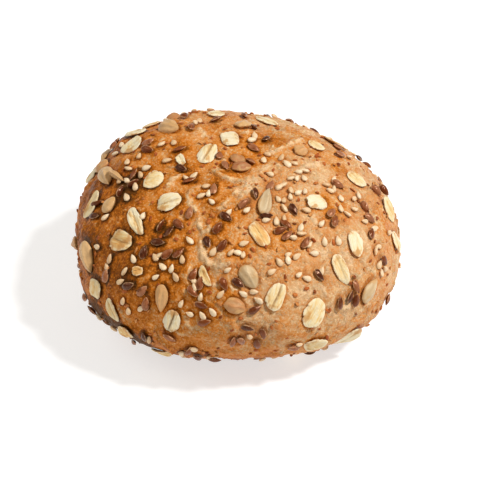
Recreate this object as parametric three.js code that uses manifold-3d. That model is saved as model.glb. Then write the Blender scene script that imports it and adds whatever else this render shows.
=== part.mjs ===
// A round wholegrain bread roll, baked with oat flakes, sunflower kernels, linseed and sesame on its crust.
// It is one piece: the toppings are baked into the crust, so they are fused to it here.
// Millimetres, +Z up. The origin is the middle of the flat foot that the roll rests on.
import * as THREE from "three";
import { mergeVertices } from "three/addons/utils/BufferGeometryUtils.js";
import Module from "manifold-3d";

const wasm = await Module();
wasm.setup();

// The dough. Its heart is the middle of its widest level, and every reach is measured from there.
const HALF_WIDTH = 53.6;
const HALF_DEPTH = 52.6;
const CROWN = 34.2; // from the heart up to the top
const BELLY = 23.8; // from the heart down to where the round underside would end
const HEART_HEIGHT = 21.5; // less than the belly, so the foot is flat
const CROWN_ROUNDNESS = 2.15; // 2 is an ellipse, and more is plumper
const BELLY_ROUNDNESS = 2.3;
const HEART = new THREE.Vector3(0.6, -0.25, HEART_HEIGHT);

// Broad bulges and hollows of the shaped dough: bearing and rise of the middle in degrees, spread, height.
const BULGES = [
  [146, 36, 24, 4.0],
  [48, 30, 20, -0.5],
  [214, -6, 17, 1.9],
  [-32, -6, 18, 1.8],
  [250, -18, 12, -0.8],
  [-85, -16, 18, -1.0],
];

// Small swells all over the crust, where gas lifted the dough.
const SWELLS = 44;
const SWELL_SPREAD = 13;
const SWELL_HEIGHT = 0.55;
const SWELL_SEED = 5;

// How finely the bare dough is divided: the number of cuts along each edge of an icosahedron.
const CRUST_DETAIL = 8;

// The roll as it is seen from the front and above. Places on its near side are read in this picture, in pixels.
const VIEW_ELEVATION = 40;
const VIEW_DISTANCE = 600;
const HEART_IN_PICTURE = [238, 240];
const PIXELS_PER_MM = 2.95;

// The toppings, largest first. Sizes are millimetres. Thick is the whole thickness, of which sink is in the crust.
// Tries is how many places the rule offers over the whole crust, and lowest is the least rise of one, in degrees.
// Closeness is how near two pieces may lie, as a share of their reaches.
const TOPPINGS = {
  oats: {
    long: 8.6, wide: 6.2, thick: 1.5, sink: 0.75, sides: 7, taper: 0.1, tilt: 7,
    profile: [[0, -0.5], [1, -0.4], [0.93, 0.5], [0, 0.42]],
    seed: 11, tries: 66, lowest: -24, closeness: 0.95,
  },
  kernels: {
    long: 8.6, wide: 4.5, thick: 3.0, sink: 1.35, sides: 7, taper: 0.3, tilt: 9,
    profile: [[0, -0.5], [1, -0.05], [0.66, 0.34], [0, 0.5]],
    seed: 23, tries: 40, lowest: -20, closeness: 0.95,
  },
  linseed: {
    long: 4.7, wide: 2.6, thick: 1.5, sink: 0.6, sides: 5, taper: 0.28, tilt: 14,
    profile: [[0, -0.5], [1, 0], [0, 0.5]],
    seed: 37, tries: 190, lowest: -26, closeness: 0.8,
  },
  sesame: {
    long: 3.1, wide: 1.9, thick: 1.3, sink: 0.5, sides: 5, taper: 0.3, tilt: 12,
    profile: [[0, -0.5], [1, 0], [0, 0.5]],
    seed: 53, tries: 260, lowest: -28, closeness: 0.75,
  },
};
const SIZE_VARIES = 0.24; // as a share of a piece's size
const WANDER = 0.3; // how far the rule's places wander from even, in radians
const SESAME_SPARED = 4; // one sesame seed in so many is made, as they are the smallest
const TURN_SEED = 7; // for which way round the sesame seeds of the near side lie
const LEAN_SEED = 71; // for how each topping leans

// Oat flakes and kernels on the near side: picture x and y, turn of the long axis in degrees, length, width.
const SEEN_OATS = [
  [219, 112, 0, 16, 7], [231, 138, 5, 21, 17], [207, 151, 62, 22, 17], [137, 134, 30, 17, 8],
  [133, 146, 42, 24, 11], [150, 123, 15, 20, 7], [153, 179, 0, 18, 17], [170, 203, 22, 27, 17],
  [135, 222, -70, 27, 13], [93, 205, 66, 30, 9], [122, 240, 0, 22, 21], [181, 161, -60, 14, 6],
  [97, 288, 80, 23, 13], [113, 309, -68, 24, 9], [172, 320, 75, 23, 18], [128, 331, -50, 18, 7],
  [205, 277, -65, 21, 7], [140, 271, 0, 12, 9], [317, 203, 10, 20, 16], [357, 180, -40, 24, 9],
  [315, 149, -35, 22, 7], [388, 210, -58, 26, 7], [260, 116, -12, 26, 7], [260, 236, -55, 30, 18],
  [354, 244, -80, 26, 14], [342, 270, -65, 32, 14], [276, 296, 70, 30, 18], [314, 313, 60, 30, 21],
  [316, 344, 10, 22, 12], [351, 337, 38, 28, 8], [397, 242, -82, 20, 7], [325, 141, -20, 14, 6],
];
const SEEN_KERNELS = [
  [170, 129, -10, 19, 14], [173, 117, 25, 14, 8], [107, 177, -75, 20, 12], [118, 177, -35, 16, 7],
  [111, 206, 52, 19, 12], [87, 257, -80, 32, 13], [162, 298, -95, 27, 13], [249, 277, -60, 26, 18],
  [235, 305, -10, 20, 16], [265, 203, 78, 27, 14], [238, 160, -30, 13, 11], [241, 170, 5, 17, 10],
  [369, 290, 60, 26, 12], [301, 152, 20, 12, 10], [102, 166, 40, 15, 13],
];

// Linseed on the near side: picture x and y, turn in degrees. They are all of one size.
const SEEN_LINSEED = [
  [226, 168, -65], [219, 155, 80], [178, 225, -40], [168, 232, 50], [160, 226, 60], [189, 213, 75],
  [226, 218, -30], [218, 229, 55], [214, 191, 80], [190, 182, 12], [181, 169, -20], [134, 175, 52],
  [133, 184, 28], [121, 192, 65], [150, 145, 25], [149, 152, -8], [98, 217, 0], [116, 147, 70],
  [100, 205, 30], [254, 147, -30], [266, 139, 50], [254, 128, -60], [244, 117, -70], [251, 162, -40],
  [255, 196, -80], [244, 205, 42], [270, 186, 60], [293, 211, -60], [266, 217, 5], [286, 225, -45],
  [280, 231, 20], [287, 236, 40], [329, 214, 50], [333, 222, 70], [365, 208, -60], [370, 219, -40],
  [371, 234, 80], [338, 157, -12], [336, 150, -45], [358, 160, -20], [368, 165, -55], [316, 130, -20],
  [290, 122, 0], [374, 192, -45], [381, 192, -50], [338, 185, -30], [157, 243, -5], [167, 255, 40],
  [178, 254, 45], [144, 253, 72], [131, 285, 20], [144, 290, 45], [147, 303, 85], [107, 276, 80],
  [208, 243, -65], [223, 246, 55], [193, 275, 65], [200, 284, 75], [193, 292, -50], [202, 305, -15],
  [224, 284, -65], [238, 283, -35], [171, 335, -35], [146, 334, 85], [190, 348, 60], [198, 355, -30],
  [234, 341, 75], [241, 341, -70], [205, 321, 15], [247, 326, -5], [263, 333, -75], [257, 344, 85],
  [254, 309, 25], [320, 276, -50], [306, 243, 60], [356, 287, -75], [350, 297, 75], [355, 300, 78],
  [340, 303, 85], [384, 261, -55], [387, 299, 60], [294, 347, 0],
];

// Sesame seeds on the near side: picture x and y. They lie any way round, in loose groups.
const SEEN_SESAME = [
  [163, 146], [174, 144], [167, 161], [141, 158], [116, 154], [130, 170], [130, 164], [140, 175],
  [127, 181], [135, 187], [121, 181], [146, 168], [186, 179], [194, 177], [207, 188], [209, 195],
  [202, 197], [212, 203], [127, 198], [108, 218], [145, 217], [123, 146], [229, 213], [98, 247],
  [111, 259], [108, 267], [127, 271], [135, 259], [123, 281], [157, 277], [155, 258], [159, 256],
  [163, 267], [172, 269], [176, 277], [182, 260], [189, 241], [214, 252], [231, 253], [237, 253],
  [228, 270], [221, 294], [193, 281], [194, 288], [201, 297], [181, 304], [190, 314], [203, 315],
  [125, 300], [130, 310], [142, 308], [151, 337], [194, 347], [183, 350], [208, 356], [213, 311],
  [254, 138], [252, 141], [264, 160], [268, 153], [282, 158], [287, 165], [294, 165], [270, 175],
  [298, 173], [304, 172], [304, 179], [297, 179], [291, 179], [280, 187], [284, 185], [291, 191],
  [298, 194], [304, 193], [290, 198], [278, 200], [284, 201], [284, 209], [334, 180], [327, 185],
  [335, 189], [331, 191], [341, 199], [355, 199], [359, 196], [355, 210], [338, 210], [345, 215],
  [321, 224], [305, 211], [266, 221], [284, 219], [276, 222], [301, 228], [302, 234], [247, 211],
  [365, 222], [375, 229], [390, 233], [348, 159], [354, 155], [293, 238], [244, 244], [243, 255],
  [325, 242], [310, 245], [338, 241], [315, 254], [288, 255], [297, 257], [287, 260], [278, 262],
  [271, 271], [299, 275], [307, 279], [322, 272], [243, 294], [254, 292], [258, 300], [249, 336],
  [299, 344], [378, 247], [375, 251], [379, 265], [385, 269], [381, 273],
];

const GOLDEN_ANGLE = Math.PI * (3 - Math.sqrt(5));
const DRAW_FACTOR = 1664525;
const DRAW_ADDS = 1013904223;
const radians = THREE.MathUtils.degToRad;

// A fixed run of numbers between 0 and 1, so that the roll comes out the same each time.
function numbersFrom(seed) {
  let state = seed;
  return () => {
    state = (Math.imul(state, DRAW_FACTOR) + DRAW_ADDS) >>> 0;
    return state / 2 ** 32;
  };
}

// The unit vector at a bearing, counted from +X towards +Y, and a rise above level, both in radians.
function direction(bearing, rise) {
  return new THREE.Vector3(
    Math.cos(rise) * Math.cos(bearing),
    Math.cos(rise) * Math.sin(bearing),
    Math.sin(rise),
  );
}

function makeLumps() {
  const lumps = BULGES.map(([bearing, rise, spread, height]) => ({
    middle: direction(radians(bearing), radians(rise)),
    spread: radians(spread),
    height,
  }));
  const draw = numbersFrom(SWELL_SEED);
  for (let i = 0; i < SWELLS; i++) {
    const level = 1 - (2 * (i + 0.5)) / SWELLS;
    lumps.push({
      middle: direction(i * GOLDEN_ANGLE, Math.asin(level)),
      spread: radians(SWELL_SPREAD),
      height: SWELL_HEIGHT * (2 * draw() - 1),
    });
  }
  return lumps;
}

const LUMPS = makeLumps();

// How far the crust is from the heart in one direction.
function reach(d) {
  const [roundness, half] = d.z > 0 ? [CROWN_ROUNDNESS, CROWN] : [BELLY_ROUNDNESS, BELLY];
  const across = Math.hypot(d.x / HALF_WIDTH, d.y / HALF_DEPTH);
  let far = (across ** roundness + (Math.abs(d.z) / half) ** roundness) ** (-1 / roundness);
  for (const { middle, spread, height } of LUMPS)
    far += height * Math.exp((d.dot(middle) - 1) / spread ** 2);
  return far;
}

const crustPoint = (d) => d.clone().multiplyScalar(reach(d)).add(HEART);

const SLOPE_STEP = 0.02; // as a share of the way to the heart
const NEARLY_UPRIGHT = 1e-6;

// The way that the crust faces in one direction from the heart, from two small steps along it.
function crustNormal(d) {
  const side = new THREE.Vector3(-d.y, d.x, 0);
  if (side.length() < NEARLY_UPRIGHT) side.set(1, 0, 0);
  side.normalize();
  const over = d.clone().cross(side);
  const slope = (way) =>
    crustPoint(d.clone().addScaledVector(way, SLOPE_STEP).normalize()).sub(
      crustPoint(d.clone().addScaledVector(way, -SLOPE_STEP).normalize()),
    );
  return slope(side).cross(slope(over)).normalize();
}

const BEYOND_CRUST = 70; // further from the heart than any crust
const SIGHT_STEP = 0.25; // how finely a line of sight is followed
const LEAST_SLANT = 0.25; // a crust that is seen more edge on is measured as if it slanted by this
const SMALLEST_READ = 0.62; // limits for a size read in the picture, as shares of the usual size
const LARGEST_READ = 1.3;
const EDGE_OF_VIEW = 0.05; // less slant towards the view than this is out of sight
const LEVEL_SIGHT = radians(VIEW_ELEVATION);
const RIGHT = new THREE.Vector3(1, 0, 0);
const UP = new THREE.Vector3(0, Math.sin(LEVEL_SIGHT), Math.cos(LEVEL_SIGHT));
const BACK = new THREE.Vector3(0, -Math.cos(LEVEL_SIGHT), Math.sin(LEVEL_SIGHT));
const EYE = HEART.clone().addScaledVector(BACK, VIEW_DISTANCE);

// The crust's direction from the heart at a place in the picture. Past the edge it is the nearest crust.
function seenAt(x, y) {
  const across = (x - HEART_IN_PICTURE[0]) / PIXELS_PER_MM;
  const above = (HEART_IN_PICTURE[1] - y) / PIXELS_PER_MM;
  const sight = HEART.clone().addScaledVector(RIGHT, across).addScaledVector(UP, above).sub(EYE).normalize();
  const fromHeart = (far) => EYE.clone().addScaledVector(sight, far).sub(HEART);
  const outside = (far) => {
    const p = fromHeart(far);
    return p.length() - reach(p.normalize());
  };
  let best = VIEW_DISTANCE - BEYOND_CRUST;
  for (let far = best; far < VIEW_DISTANCE + BEYOND_CRUST; far += SIGHT_STEP) {
    if (outside(far) < outside(best)) best = far;
    if (outside(best) < 0) break;
  }
  return fromHeart(best).normalize();
}

// A piece seen in the picture: where it lies, and its true size from how long and wide it looks there.
function seenPiece(kind, [x, y, turn = 0, length, width]) {
  const d = seenAt(x, y);
  const normal = crustNormal(d);
  const sight = crustPoint(d).sub(EYE).normalize();
  const lying = (angle) => {
    const way = RIGHT.clone().multiplyScalar(Math.cos(angle)).addScaledVector(UP, Math.sin(angle));
    const slant = Math.min(sight.dot(normal), -LEAST_SLANT);
    return way.addScaledVector(sight, -way.dot(normal) / slant);
  };
  const along = lying(radians(turn));
  const beside = lying(radians(turn) + Math.PI / 2);
  const { long, wide } = TOPPINGS[kind];
  const size = (pixels, way, usual) => {
    if (!pixels) return usual;
    const read = (pixels / PIXELS_PER_MM) * way.length();
    return THREE.MathUtils.clamp(read, SMALLEST_READ * usual, LARGEST_READ * usual);
  };
  return {
    kind,
    d,
    normal,
    along: along.projectOnPlane(normal).normalize(),
    long: size(length, along, long),
    wide: size(width, beside, wide),
  };
}

const facesView = (piece) => EYE.clone().sub(crustPoint(piece.d)).normalize().dot(piece.normal) > EDGE_OF_VIEW;

// The rule for all the other pieces: an even spiral from the crown to the foot, from which each place wanders.
function offeredPieces(kind) {
  const { long, wide, seed, tries, lowest } = TOPPINGS[kind];
  const draw = numbersFrom(seed);
  const offered = [];
  for (let i = 0; i < tries; i++) {
    const level = 1 - ((1 - Math.sin(radians(lowest))) * (i + 0.5)) / tries;
    const bearing = i * GOLDEN_ANGLE + seed + (draw() - 0.5) * WANDER;
    const rise = Math.asin(level) + (draw() - 0.5) * WANDER;
    const turn = draw() * 2 * Math.PI;
    const size = 1 + (draw() - 0.5) * SIZE_VARIES;
    const d = direction(bearing, Math.max(rise, radians(lowest)));
    const normal = crustNormal(d);
    const along = new THREE.Vector3(0, 0, 1).cross(normal).normalize().applyAxisAngle(normal, turn);
    offered.push({ kind, d, normal, along, long: long * size, wide: wide * size });
  }
  return offered;
}

const spanOf = (piece) => (piece.long + piece.wide) / 4;

// All pieces, largest kinds first. The rule fills the sides that the picture hides, and leaves out a taken place.
function placeToppings() {
  const draw = numbersFrom(TURN_SEED);
  const placed = [
    ...SEEN_OATS.map((row) => seenPiece("oats", row)),
    ...SEEN_KERNELS.map((row) => seenPiece("kernels", row)),
    ...SEEN_LINSEED.map((row) => seenPiece("linseed", row)),
    ...SEEN_SESAME.map(([x, y]) => seenPiece("sesame", [x, y, draw() * 180])),
  ];
  for (const kind of Object.keys(TOPPINGS)) {
    for (const piece of offeredPieces(kind)) {
      if (facesView(piece)) continue;
      const at = crustPoint(piece.d);
      const taken = placed.some(
        (other) =>
          crustPoint(other.d).distanceTo(at) < (spanOf(other) + spanOf(piece)) * TOPPINGS[kind].closeness,
      );
      if (!taken) placed.push(piece);
    }
  }
  return placed;
}

const WELD = 1e-4; // corners that are nearer than this are one

// A closed geometry as a solid that can be joined and cut.
function solidOf(geometry) {
  const bare = new THREE.BufferGeometry();
  bare.setAttribute("position", geometry.getAttribute("position"));
  bare.setIndex(geometry.index);
  const merged = mergeVertices(bare, WELD);
  const corners = [];
  for (let i = 0; i < merged.index.count; i += 3) {
    const [a, b, c] = [0, 1, 2].map((k) => merged.index.getX(i + k));
    if (a !== b && b !== c && c !== a) corners.push(a, b, c);
  }
  return new wasm.Manifold(
    new wasm.Mesh({
      numProp: 3,
      vertProperties: new Float32Array(merged.attributes.position.array),
      triVerts: new Uint32Array(corners),
    }),
  );
}

// One topping: a lathe turned about its thickness, stretched to its length and width and drawn to a tip.
function toppingBody(piece, draw) {
  const { profile, sides, thick, sink, taper, tilt } = TOPPINGS[piece.kind];
  const points = profile.map(([out, high]) => new THREE.Vector2(out, high));
  const body = new THREE.LatheGeometry(points, sides, draw() * Math.PI);
  body.rotateX(Math.PI / 2);
  const p = body.getAttribute("position");
  for (let i = 0; i < p.count; i++) {
    const x = p.getX(i);
    p.setXYZ(i, (x * piece.long) / 2, (p.getY(i) * piece.wide * (1 - taper * x)) / 2, p.getZ(i) * thick);
  }
  const across = piece.normal.clone().cross(piece.along);
  const lean = new THREE.Matrix4().makeRotationAxis(across, radians((draw() - 0.5) * tilt));
  const stand = new THREE.Matrix4().makeBasis(piece.along, across, piece.normal);
  const at = crustPoint(piece.d).addScaledVector(piece.normal, thick / 2 - sink);
  body.applyMatrix4(lean.multiply(stand).setPosition(at));
  return solidOf(body);
}

function doughBody() {
  const dough = new THREE.IcosahedronGeometry(1, CRUST_DETAIL);
  const p = dough.getAttribute("position");
  for (let i = 0; i < p.count; i++) {
    const at = crustPoint(new THREE.Vector3().fromBufferAttribute(p, i).normalize());
    p.setXYZ(i, at.x, at.y, at.z);
  }
  return solidOf(dough);
}

const TABLE_DEPTH = 40;

// Everything under the table's level, which cuts the foot flat.
function underTable() {
  const table = new THREE.BoxGeometry(4 * HALF_WIDTH, 4 * HALF_DEPTH, TABLE_DEPTH);
  return solidOf(table.translate(0, 0, -TABLE_DEPTH / 2));
}

function makeRoll() {
  const draw = numbersFrom(LEAN_SEED);
  const pieces = placeToppings();
  const kept = pieces.filter((piece, i) => piece.kind !== "sesame" || i % SESAME_SPARED === 0);
  const fused = kept.reduce((whole, piece) => whole.add(toppingBody(piece, draw)), doughBody());
  const standing = fused.subtract(underTable());
  const { vertProperties, triVerts } = standing.getMesh();
  const geometry = new THREE.BufferGeometry();
  geometry.setAttribute("position", new THREE.BufferAttribute(vertProperties, 3));
  geometry.setIndex(new THREE.BufferAttribute(triVerts, 1));
  geometry.computeVertexNormals();
  const crust = new THREE.MeshStandardMaterial({ color: 0xb8743a, roughness: 0.62, metalness: 0 });
  const roll = new THREE.Mesh(geometry, crust);
  roll.name = "seeded_roll";
  return roll;
}

const breadRoll = new THREE.Group();
breadRoll.add(makeRoll());

export default breadRoll;
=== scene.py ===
# %% [markdown]
# # A seeded bread roll
#
# A round wholegrain roll, proofed, rolled in seeds and baked until its crust is golden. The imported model
# already has the roll's true size, its bulges and its toppings, all as one plain solid. This lesson keeps
# that form and dresses it: a blistered, unevenly baked crust, and every flake and seed as its own small
# mesh, lying where the solid has it.
#
# All sizes here are millimetres, because bread is small, and they become metres when a mesh is made.

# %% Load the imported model
import math

import bmesh
import bpy
import numpy as np
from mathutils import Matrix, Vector


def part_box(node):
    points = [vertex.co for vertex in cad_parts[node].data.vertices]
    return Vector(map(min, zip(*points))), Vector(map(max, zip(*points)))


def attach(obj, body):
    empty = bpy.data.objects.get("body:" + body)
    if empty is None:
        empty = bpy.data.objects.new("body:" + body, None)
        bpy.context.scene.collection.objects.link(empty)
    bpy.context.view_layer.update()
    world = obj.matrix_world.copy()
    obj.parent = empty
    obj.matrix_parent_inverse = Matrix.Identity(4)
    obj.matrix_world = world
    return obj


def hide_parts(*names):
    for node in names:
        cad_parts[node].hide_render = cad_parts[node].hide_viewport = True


MM = 0.001
NODE = "seeded_roll"
BODY = "root"

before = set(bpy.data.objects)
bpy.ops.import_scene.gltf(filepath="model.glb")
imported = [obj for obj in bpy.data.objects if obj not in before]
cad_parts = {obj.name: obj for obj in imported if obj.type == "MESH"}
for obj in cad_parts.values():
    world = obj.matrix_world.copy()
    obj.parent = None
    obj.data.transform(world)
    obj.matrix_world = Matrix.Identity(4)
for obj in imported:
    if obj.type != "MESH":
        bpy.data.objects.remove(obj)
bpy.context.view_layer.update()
roll_low, roll_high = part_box(NODE)
print("roll, in mm:", [round(side / MM, 1) for side in roll_high - roll_low])

# %% [markdown]
# ## The camera
#
# The photograph looks down on the roll at forty degrees from a little over half a metre, with a long
# lens. The heart of the roll, the middle of its widest level, isn't quite in the middle of the picture. A
# small lens shift puts it in its place without turning the camera, so the perspective stays true.

# %% Place the camera
VIEW_ELEVATION = 40
VIEW_DISTANCE = 600
HEART = np.array([0.6, -0.25, 21.5])
HEART_IN_PICTURE = (238, 240)
PICTURE_SIDE = 480
PIXELS_PER_MM = 2.95
SENSOR = 36

sight = math.radians(VIEW_ELEVATION)
RIGHT = np.array([1.0, 0.0, 0.0])
UP = np.array([0.0, math.sin(sight), math.cos(sight)])
BACK = np.array([0.0, -math.cos(sight), math.sin(sight)])
EYE = HEART + VIEW_DISTANCE * BACK


def make_camera():
    lens = bpy.data.cameras.new("camera")
    lens.sensor_width = SENSOR
    lens.lens = PIXELS_PER_MM * VIEW_DISTANCE * SENSOR / PICTURE_SIDE
    lens.shift_x = (PICTURE_SIDE / 2 - HEART_IN_PICTURE[0]) / PICTURE_SIDE
    lens.shift_y = (HEART_IN_PICTURE[1] - PICTURE_SIDE / 2) / PICTURE_SIDE
    lens.clip_start = 0.01
    camera = bpy.data.objects.new("camera", lens)
    camera.location = EYE * MM
    camera.rotation_euler = (math.pi / 2 - sight, 0, 0)
    bpy.context.scene.collection.objects.link(camera)
    bpy.context.scene.camera = camera


make_camera()
print("the camera stands at, in mm:", EYE.round())

# %% [markdown]
# ## The form of the dough
#
# A roll is nearly a ball that sank under its own weight: a rounded dome above its widest level, a flatter
# belly below it, and a flat foot where it stood on the tray. One function gives how far the crust is from
# the heart in any direction. Broad bulges and many small swells are added to it. The solid was made from
# the same function and the same numbers, so what is built here lies on it.

# %% List the sizes of the dough
HALF_WIDTH, HALF_DEPTH, CROWN, BELLY = 53.6, 52.6, 34.2, 23.8
CROWN_ROUNDNESS, BELLY_ROUNDNESS = 2.15, 2.3

# Bearing and rise of the middle in degrees, spread in degrees, height.
BULGES = [
    (146, 36, 24, 4.0),
    (48, 30, 20, -0.5),
    (214, -6, 17, 1.9),
    (-32, -6, 18, 1.8),
    (250, -18, 12, -0.8),
    (-85, -16, 18, -1.0),
]
# How many, spread in degrees, height and seed: the swells that the solid has too, and finer waves that
# only show here.
SWELLS = (44, 13, 0.55, 5)
WAVES = (300, 5.2, 0.95, 9)
GOLDEN_ANGLE = math.pi * (3 - math.sqrt(5))


# %% Draw numbers and spread lumps
# What each drawn number is multiplied by, what is added to it, and where it starts again.
DRAW_TIMES, DRAW_PLUS, DRAW_RANGE = 1664525, 1013904223, 2**32


def numbers_from(seed):
    """A fixed run of numbers between 0 and 1, the same one each time."""
    state = seed
    while True:
        state = (state * DRAW_TIMES + DRAW_PLUS) % DRAW_RANGE
        yield state / DRAW_RANGE


def direction(bearing, rise):
    return np.array([np.cos(rise) * np.cos(bearing), np.cos(rise) * np.sin(bearing), np.sin(rise)])


def spiral_lumps(count, spread, height, seed):
    """Lumps along an even spiral, each raised or sunk by a drawn height."""
    draw = numbers_from(seed)
    rows = []
    for i in range(count):
        bearing, rise = i * GOLDEN_ANGLE, math.asin(1 - 2 * (i + 0.5) / count)
        rows.append((bearing, rise, math.radians(spread), height * (2 * next(draw) - 1)))
    return np.array(rows)


BULGE_LUMPS = np.array([(*np.radians(row[:3]), row[3]) for row in BULGES])
BROAD_LUMPS = np.vstack([BULGE_LUMPS, spiral_lumps(*SWELLS)])
FINE_LUMPS = spiral_lumps(*WAVES)
print("lumps:", len(BROAD_LUMPS), "broad,", len(FINE_LUMPS), "fine")

# %% Say how far the crust is from the heart
ROWS_AT_ONCE = 4000
STEP_ALONG_CRUST = 0.02  # in radians
NEARLY_NOTHING = 1e-6


def lumpy(far, d, lumps):
    """Far, raised or sunk by every lump. The rows go through in parts, to save memory."""
    bearings, rises, spreads, heights = lumps.T
    middles = direction(bearings, rises)
    rows = d.reshape(-1, 3)
    parts = np.array_split(rows, len(rows) // ROWS_AT_ONCE + 1)
    raised = [np.exp((part @ middles - 1) / spreads**2) @ heights for part in parts]
    return far + np.concatenate(raised).reshape(np.shape(far))


def reach(d):
    """How far the crust is from the heart, for one direction or for rows of them."""
    upper = d[..., 2] > 0
    roundness = np.where(upper, CROWN_ROUNDNESS, BELLY_ROUNDNESS)
    half = np.where(upper, CROWN, BELLY)
    across = np.hypot(d[..., 0] / HALF_WIDTH, d[..., 1] / HALF_DEPTH)
    far = (across**roundness + (np.abs(d[..., 2]) / half) ** roundness) ** (-1 / roundness)
    return lumpy(far, d, BROAD_LUMPS)


def unit(v):
    return v / np.linalg.norm(v, axis=-1, keepdims=True)


def crust_point(d):
    return HEART + d * lumpy(reach(d), d, FINE_LUMPS)[..., None]


def crust_normal(d):
    """The way that the crust faces, from two small steps along it."""
    side = np.array([-d[1], d[0], 0.0])
    if np.linalg.norm(side) < NEARLY_NOTHING:
        side = RIGHT
    side = unit(side)
    slopes = []
    for way in (side, np.cross(d, side)):
        step = way * STEP_ALONG_CRUST
        slopes.append(crust_point(unit(d + step)) - crust_point(unit(d - step)))
    return unit(np.cross(*slopes))


print("crown above the tray, in mm:", crust_point(np.array([0.0, 0.0, 1.0]))[2].round(1))

# %% [markdown]
# ## Where the toppings lie
#
# On the side that the photograph shows, each flake and seed keeps its own place. Its place in the picture
# was read off, and a line of sight from the camera finds the spot on the crust, so it lies on the roll and
# not in front of it. The sides that the photograph hides are filled by a rule: an even spiral, from which
# each place wanders a little, the largest kinds first and the smaller ones in the gaps.

# %% List the kinds of topping
# Sizes are millimetres. Thick is the whole thickness, and sink is how much of it is in the crust. Tries
# is how many places the rule offers over the whole crust, and lowest is the least rise of one, in
# degrees. Closeness is how near two pieces may lie, as a share of their spans.
TOPPINGS = {
    "oats": dict(long=8.6, wide=6.2, thick=1.7, sink=0.75, seed=11, tries=66, lowest=-24, closeness=0.95),
    "kernels": dict(long=8.6, wide=4.5, thick=3.0, sink=1.35, seed=23, tries=40, lowest=-20, closeness=0.95),
    "linseed": dict(long=4.7, wide=2.6, thick=1.5, sink=0.6, seed=37, tries=190, lowest=-26, closeness=0.8),
    "sesame": dict(long=3.1, wide=1.9, thick=1.3, sink=0.5, seed=53, tries=260, lowest=-28, closeness=0.75),
}
SIZE_VARIES = 0.24
WANDER = 0.3  # in radians

# %% List what is read off the picture
# Oat flakes: picture x and y, turn of the long axis in degrees, length, width, which shape, and a tone
# from 0, pale cream, to 1, golden. Kernels: the same, but their tone goes from 0, grey green, through
# beige to 1, red brown. An eighth value, where a row has one, is how far the piece is rolled about its
# long axis, in degrees.
SEEN_OATS = [
    (217, 117, 0, 18, 5, 9, 0.3), (231, 138, 5, 21, 17, 3, 0.1), (207, 152, 62, 22, 15, 1, 0.3),
    (137, 134, 30, 17, 8, 9, 0.2), (133, 146, 42, 24, 11, 5, 0.25), (150, 123, 15, 20, 7, 9, 0.6),
    (153, 180, 0, 17, 16, 0, 0.45), (170, 203, 22, 26, 15, 2, 0.25), (138, 222, -68, 27, 12, 6, 0.3),
    (95, 205, 66, 30, 7, 5, 0.4), (122, 241, -15, 22, 20, 2, 0.7), (181, 161, -60, 14, 6, 4, 0.2),
    (97, 287, 80, 20, 11, 3, 0.5), (115, 309, -68, 24, 7, 6, 0.5), (172, 320, 75, 22, 16, 1, 0.2),
    (128, 331, -50, 18, 7, 4, 0.8), (205, 277, -65, 21, 7, 5, 0.65), (140, 271, 0, 12, 9, 4, 1.0),
    (316, 203, 12, 20, 14, 8, 0.1), (357, 180, -42, 22, 8, 9, 0.45), (315, 148, -35, 18, 6, 9, 0.45),
    (388, 210, -60, 24, 6, 9, 0.5), (268, 121, -27, 27, 5, 9, 0.3), (260, 236, -55, 30, 14, 3, 0.8),
    (354, 244, -82, 25, 13, 0, 0.2), (342, 270, -65, 30, 13, 6, 0.45), (276, 296, 70, 29, 17, 1, 0.45),
    (314, 313, 60, 29, 19, 0, 0.4), (316, 344, 10, 22, 9, 0, 0.45), (350, 337, 40, 30, 8, 6, 0.2, -18),
    (397, 242, -82, 20, 7, 9, 0.3), (334, 144, -47, 20, 6, 9, 0.95),
]
SEEN_KERNELS = [
    (170, 130, -10, 19, 15, 0, 0.42, 35), (173, 117, 25, 14, 8, 4, 0.85), (107, 177, -75, 20, 12, 2, 0.3),
    (118, 177, -35, 16, 7, 1, 0.45), (111, 206, 52, 19, 12, 0, 0.36), (89, 257, -80, 32, 13, 3, 0.38),
    (162, 298, -95, 27, 13, 3, 0.55), (249, 277, -60, 25, 17, 0, 0.12), (235, 305, -10, 20, 16, 4, 0.8),
    (265, 203, 78, 27, 14, 1, 0.02), (238, 160, -30, 13, 11, 4, 0.85), (241, 170, 5, 17, 10, 4, 0.95),
    (369, 290, 60, 26, 12, 2, 0.08), (243, 126, 20, 10, 8, 4, 0.42), (300, 153, 20, 11, 9, 4, 0.6),
    (102, 166, 40, 15, 13, 4, 0.7),
]

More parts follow.
